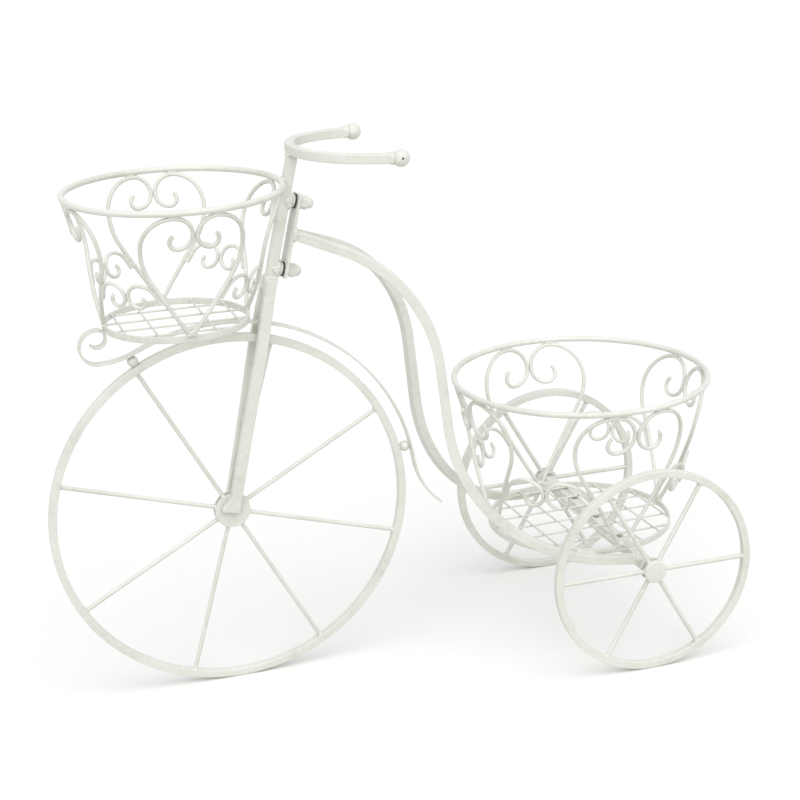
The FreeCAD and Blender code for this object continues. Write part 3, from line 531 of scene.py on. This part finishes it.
def boss_cheeks():
    """Places of the weld that runs from each boss onto the sides of the post."""
    post = sorted(corners("steering_post"), key=lambda place: place.z)
    axis = middle(post[-4:]) - middle(post[:4])
    axis.y = 0
    axis.normalize()
    rear = Vector((axis.z, 0, -axis.x))
    points = [Vector(p) for p in arrays["head_bosses"][0]]
    heights = [p.dot(axis) for p in points]
    halfway = (min(heights) + max(heights)) / 2
    low_boss = [p for p in points if p.dot(axis) < halfway]
    high_boss = [p for p in points if p.dot(axis) >= halfway]
    side = boxes["steering_post"][1][1]
    places = []
    for boss in (low_boss, high_boss):
        seat = middle(boss) + rear * (min(p.dot(rear) for p in boss) - middle(boss).dot(rear))
        for ahead, above, radius in BOSS_CHEEK:
            for y in (-side, side):
                place = seat - rear * (ahead * MM) + axis * (above * MM)
                places.append((Vector((place.x, y, place.z)), radius * MM))
    return places


def bead_radius(a, b):
    """The radius of the beads between two neighbours, 0 where they aren't welded."""
    for one, other, radius in BEAD_RADIUS:
        if (one in a and other in b) or (one in b and other in a):
            return radius * MM


def family_of(a, b):
    """The group of welds that a pair of neighbours belongs to."""
    for kind in ("front", "rear"):
        basket = tuple(kind + piece for piece in ("_heart", "_link", "_floor", "_basket"))
        if a.startswith(basket) or b.startswith(basket):
            return kind + "_basket"
    return WELD_FAMILIES.get(body_of[a], "frame")


def weld_everything():
    """Lays the beads between all neighbours, as one piece for each group of welds."""
    groups = {}
    names = sorted(nodes)
    for i, a in enumerate(names):
        for b in names[i + 1:]:
            radius = bead_radius(a, b)
            if body_of[a] != body_of[b] or a in BOLTED or b in BOLTED or not radius:
                continue
            beads = [(place, radius) for place in thinned(contacts(a, b), radius)]
            groups.setdefault((family_of(a, b), body_of[a]), []).extend(beads)
    groups[("frame", "stand")].extend(boss_cheeks())
    for name in names:
        if "_heart_" in name:
            groups[(name.split("_")[0] + "_basket", "stand")].append(heart_foot(name))
    for (family, body), places in sorted(groups.items()):
        if places:
            slot = "wire_paint" if family.endswith("basket") else "frame_paint"
            name = "welds_" + family
            add_piece(name, fused(name, made_mesh("lumps", *bead_lumps(places))), body, slot)


weld_everything()


# Weld collars between the handlebar and its balls, and a dark disc in each ball's vent, which paints the
# shade inside the vent hole

COLLAR = [
    # Each section: mm past the ball's surface, half width in halves of the bar, squareness
    (-3.0, 0.5, 2.0),
    (-2.6, 1.1, 2.2),
    (-1.2, 1.36, 2.6),
    (0.2, 1.32, 2.8),
    (1.4, 1.2, 3.4),
    (2.6, 1.1, 4.8),
    (3.6, 1.03, 7.0),
    (4.4, 0.98, 9.0),
    (4.7, 0.7, 9.0),
]
COLLAR_SIDES = 28
COLLAR_LUMP = 0.8 * MM
COLLAR_LUMPS = 380
COLLAR_LUMP_RISE = 6
# Radius and height of the dark vent disc's rings in mm, from its middle outward
VENT_SHADE_DISC = [(0.05, 0.06), (0.4, 0.07), (0.55, 0.3), (0.85, 0.34), (1.1, 0.12), (1.15, -0.3), (0.4, -0.5)]
VENT_SHADE_DISC_SIDES = 16
VENT_SHADE_DISC_OUTWARD = (-0.07, 0.97, 0.11)
SIDES = {"left": -1, "right": 1}


def skinned(rings):
    """Points and faces of a closed tube through rings of places."""
    sides = len(rings[0])
    points = [place for ring in rings for place in ring]
    faces = []
    for k in range(len(rings) - 1):
        for i in range(sides):
            j = (i + 1) % sides
            faces.append((k * sides + i, k * sides + j, (k + 1) * sides + j, (k + 1) * sides + i))
    faces.append(tuple(range(sides - 1, -1, -1)))
    last = (len(rings) - 1) * sides
    faces.append(tuple(last + i for i in range(sides)))
    return points, faces


def ball_of(name):
    """Centre and radius of a ball, whose rear is whole."""
    low, high = boxes[name]
    radius = (high[2] - low[2]) / 2
    return Vector((high[0] - radius, (low[1] + high[1]) / 2, (low[2] + high[2]) / 2)), radius


def add_collar(side):
    """A lumpy sleeve that leads from the ball to the bar's square section."""
    centre, radius = ball_of("handlebar_ball_" + side)
    end = [place for place in corners("handlebar") if (place - centre).length < radius]
    beside, above = sorted(end[1:], key=lambda place: (place - end[0]).length)[:2]
    start = middle(end)
    half = (beside - end[0]).length / 2
    across = (beside - end[0]).normalized()
    along = across.cross(above - end[0]).normalized()
    if along.dot(start - centre) < 0:
        along.negate()
    upright = along.cross(across)
    base = start + along * ((centre - start).dot(along) + radius)
    seed = noise_seed()
    rings = []
    for distance, share, square in COLLAR:
        ring = []
        for k in range(COLLAR_SIDES):
            angle = math.tau * k / COLLAR_SIDES
            c = math.cos(angle)
            s = math.sin(angle)
            out = across * c + upright * s
            reach = share * half / (abs(c) ** square + abs(s) ** square) ** (1 / square)
            place = base + along * (distance * MM)
            if share > 1:
                rough = COLLAR_LUMP * noise.noise((place + out * reach) * COLLAR_LUMPS + seed)
                reach += rough * min(1, COLLAR_LUMP_RISE * (share - 1))
            ring.append(place + out * reach)
        rings.append(ring)
    name = "ball_collar_" + side
    add_piece(name, made_mesh(name, *skinned(rings)), "stand", "frame_paint")


def add_vent_shade_disc(side):
    """A small dark disc in the vent of a ball: painted shade inside the vent hole."""
    centre, radius = ball_of("handlebar_ball_" + side)
    ahead, aside, above = VENT_SHADE_DISC_OUTWARD
    outward = Vector((ahead, SIDES[side] * aside, above)).normalized()
    across = outward.orthogonal().normalized()
    other = outward.cross(across)
    rings = []
    for reach, height in VENT_SHADE_DISC:
        ring = []
        for k in range(VENT_SHADE_DISC_SIDES):
            angle = math.tau * k / VENT_SHADE_DISC_SIDES
            spoke = across * math.cos(angle) + other * math.sin(angle)
            ring.append(centre + outward * (radius + height * MM) + spoke * (reach * MM))
        rings.append(ring)
    name = "ball_vent_shade_" + side
    # Painted shade: the rubber colour makes the disc as dark as the shade inside the vent hole
    add_piece(name, made_mesh(name, *skinned(rings)), "stand", "rubber")


for side in SIDES:
    add_collar(side)
for side in SIDES:
    add_vent_shade_disc(side)


# Forged feet of the fork legs, flared to the front over the hub flanges

FOOT_OUTLINE = [
    # Each corner: mm in front of the leg's front edge, mm above the leg's end
    (-2.0, 20.0),
    (-0.1, 18.0),
    (1.0, 15.4),
    (4.0, 9.4),
    (6.6, 4.2),
    (7.5, 2.2),
    (7.5, 1.0),
    (6.8, 0.2),
    (5.4, -0.15),
    (-2.0, -0.15),
]
FOOT_INSET = 0.25 * MM
FOOT_ROUND = 0.9
LEG_END_BAND = 6 * MM


def add_foot(side):
    """A flat foot around the lower end of a fork leg, as thick as the leg."""
    hub_low, hub_high = boxes["front_hub"]
    hub_z = (hub_low[2] + hub_high[2]) / 2
    low = [place for place in corners("fork_leg_" + side) if place.z < hub_z + LEG_END_BAND]
    low.sort(key=lambda place: place.x)
    half = len(low) // 2
    front = middle(low[:half]) - middle(low[half:])
    front.y = 0
    front.normalize()
    up = Vector((front.z, 0, -front.x))
    base = middle(low)
    edge = max((place - base).dot(front) for place in low)
    inner = min(place.y for place in low) + FOOT_INSET
    outer = max(place.y for place in low) - FOOT_INSET
    count = len(FOOT_OUTLINE)
    points = []
    for y in (inner, outer):
        for ahead, above in FOOT_OUTLINE:
            place = base + front * (edge + ahead * MM) + up * (above * MM)
            points.append(Vector((place.x, y, place.z)))
    faces = [tuple(range(count)), tuple(range(2 * count - 1, count - 1, -1))]
    for i in range(count):
        j = (i + 1) % count
        faces.append((j, i, count + i, count + j))
    name = "fork_foot_" + side
    foot = add_piece(name, made_mesh(name, points, faces), "stand", "frame_paint")
    turned = bmesh.new()
    turned.from_mesh(foot.data)
    bmesh.ops.recalc_face_normals(turned, faces=turned.faces)
    turned.to_mesh(foot.data)
    turned.free()
    rounded(foot, FOOT_ROUND, segments=3, angle=50)


for side in SIDES:
    add_foot(side)


# Floor, light and background

FLOOR_RADIUS = 14
FLOOR_SIDES = 96
FLOOR_CLOUDS = 3
FLOOR_ROUGHNESS = 0.9
FLOOR_SPECULAR = 0.1
FLOOR_BELOW = 0.2 * MM
FLOOR_DIM = (0.945, 0.945, 0.942)
FLOOR_PALE = (0.955, 0.955, 0.952)
FLOOR_BOUNCE = (0.65, 0.635, 0.595)
SKY_STRENGTH = 0.55
BACKDROP_STRENGTH = 1


def add_floor():
    """A pale floor, white where it is seen and duller in the light that it sends back."""
    mesh = bpy.data.meshes.new("floor")
    built = bmesh.new()
    bmesh.ops.create_circle(built, cap_ends=True, segments=FLOOR_SIDES, radius=FLOOR_RADIUS)
    built.to_mesh(mesh)
    built.free()
    floor = bpy.data.objects.new("floor", mesh)
    bpy.context.scene.collection.objects.link(floor)
    floor.location.z = -FLOOR_BELOW
    material = bpy.data.materials.new("floor")
    tree = Nodes(material)
    coords = tree.add("ShaderNodeTexCoord").outputs["Object"]
    shade = tree.noise(coords, FLOOR_CLOUDS, detail=2.0)
    seen = tree.ramp(shade, NOISE_RANGE, (FLOOR_DIM, FLOOR_PALE))
    tree.link(tree.mix(tree.shown(), FLOOR_BOUNCE, seen), tree.shader.inputs["Base Color"])
    tree.shader.inputs["Roughness"].default_value = FLOOR_ROUGHNESS
    tree.shader.inputs["Specular IOR Level"].default_value = FLOOR_SPECULAR
    mesh.materials.append(material)


def add_sun(name, toward, strength, spread):
    """A soft lamp far away in a direction, with its width in degrees."""
    data = bpy.data.lights.new(name, "SUN")
    data.energy = strength
    data.angle = math.radians(spread)
    sun = bpy.data.objects.new(name, data)
    bpy.context.scene.collection.objects.link(sun)
    sun.rotation_euler = Vector(toward).to_track_quat("Z", "Y").to_euler()


def add_world():
    """An even sky that looks white and lights the object less than white would."""
    world = bpy.data.worlds.new("studio")
    bpy.context.scene.world = world
    tree = Nodes(world)
    tree.tree.nodes.clear()
    lighting = tree.add("ShaderNodeBackground")
    lighting.inputs["Color"].default_value = (1, 1, 1, 1)
    lighting.inputs["Strength"].default_value = SKY_STRENGTH
    backdrop = tree.add("ShaderNodeBackground")
    backdrop.inputs["Color"].default_value = (1, 1, 1, 1)
    backdrop.inputs["Strength"].default_value = BACKDROP_STRENGTH
    mix = tree.add("ShaderNodeMixShader")
    tree.link(tree.shown(), mix.inputs[0])
    tree.link(lighting.outputs["Background"], mix.inputs[1])
    tree.link(backdrop.outputs["Background"], mix.inputs[2])
    tree.link(mix.outputs["Shader"], tree.add("ShaderNodeOutputWorld").inputs["Surface"])


add_camera()
add_floor()
add_world()
add_sun("key", toward=(-0.25, -0.8, 1.0), strength=2.0, spread=80)
add_sun("fill", toward=(0.8, -0.3, 0.9), strength=0.25, spread=60)
bpy.context.scene.view_settings.view_transform = "Standard"
